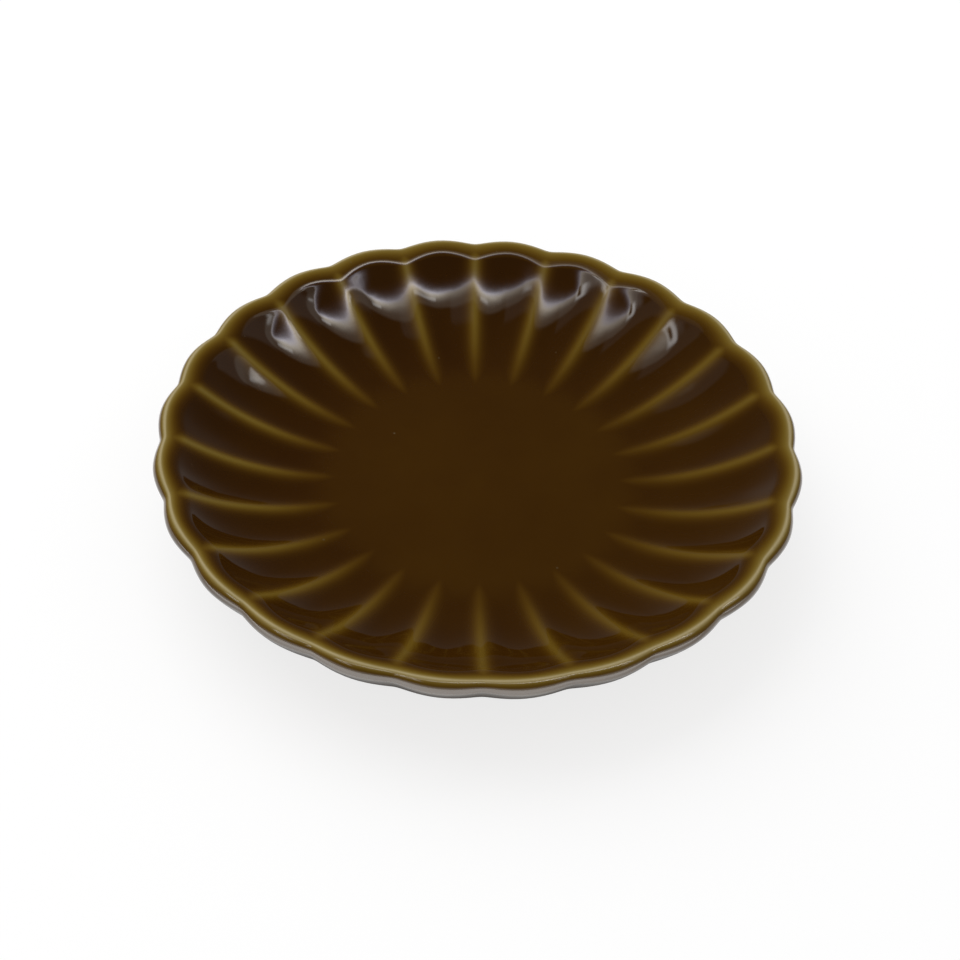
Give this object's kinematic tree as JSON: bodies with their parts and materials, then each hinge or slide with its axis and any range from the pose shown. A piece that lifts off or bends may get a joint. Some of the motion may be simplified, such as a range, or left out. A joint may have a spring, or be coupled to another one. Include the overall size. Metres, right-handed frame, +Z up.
{
  "type": "soy sauce dish",
  "caption": "Small round chrysanthemum dish in glossy amber glazed stoneware, with petal flutes round a flat well and a foot ring, for soy sauce and dips.",
  "frame": {"origin": "on the axis of the dish, at the tread of the foot ring, which is its lowest level", "axes": "+Z up the axis, out of the well; +Y away from the viewer of the picture and +X to the right, each through the middle of a petal"},
  "size_m": [0.1, 0.1, 0.0163],
  "materials": {
    "stoneware": "bare fired stoneware, matt and fine-grained",
    "amber_glaze": "transparent amber-brown gloss glaze, ochre where thin over the ridges and lip, dark brown where it pools"
  },
  "bodies": {
    "root": {"clay_dish": "stoneware", "foot_ring": "stoneware", "glaze_coat": "amber_glaze", "base_glaze": "amber_glaze"}
  },
  "joints": []
}
